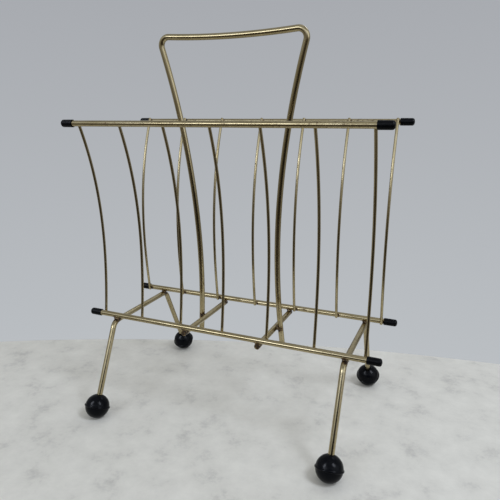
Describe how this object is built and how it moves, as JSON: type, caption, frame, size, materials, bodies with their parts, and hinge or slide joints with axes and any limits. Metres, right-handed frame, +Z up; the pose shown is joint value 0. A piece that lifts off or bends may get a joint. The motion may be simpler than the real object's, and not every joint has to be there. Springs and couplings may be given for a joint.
{
  "type": "magazine rack",
  "caption": "Free-standing wire magazine rack: bowed panels in a V, central carrying handle, splayed bent legs and ball feet.",
  "frame": {"origin": "on the floor, in the middle of the footprint", "axes": "+Z up, +X along the rails, -Y is the front"},
  "size_m": [0.3328, 0.2134, 0.403],
  "materials": {
    "brass_plate": "aged brass plating, satin gloss, tarnished at the welds",
    "black_cap": "black moulded plastic, satin gloss",
    "black_ball": "black moulded plastic, gloss with scuffs"
  },
  "bodies": {
    "root": {"back_bottom_cap_left": "black_cap", "back_bottom_cap_right": "black_cap", "back_bottom_rail": "brass_plate", "back_top_cap_left": "black_cap", "back_top_cap_right": "black_cap", "back_top_rail": "brass_plate", "back_upright_1": "brass_plate", "back_upright_2": "brass_plate", "back_upright_3": "brass_plate", "back_upright_4": "brass_plate", "back_upright_5": "brass_plate", "back_upright_6": "brass_plate", "back_upright_7": "brass_plate", "cross_rod_left": "brass_plate", "cross_rod_right": "brass_plate", "foot_back_left": "black_ball", "foot_back_right": "black_ball", "foot_front_left": "black_ball", "foot_front_right": "black_ball", "front_bottom_cap_left": "black_cap", "front_bottom_cap_right": "black_cap", "front_bottom_rail": "brass_plate", "front_top_cap_left": "black_cap", "front_top_cap_right": "black_cap", "front_top_rail": "brass_plate", "front_upright_1": "brass_plate", "front_upright_2": "brass_plate", "front_upright_3": "brass_plate", "front_upright_4": "brass_plate", "front_upright_5": "brass_plate", "front_upright_6": "brass_plate", "front_upright_7": "brass_plate", "handle": "brass_plate", "leg_frame_left": "brass_plate", "leg_frame_right": "brass_plate"}
  },
  "joints": []
}
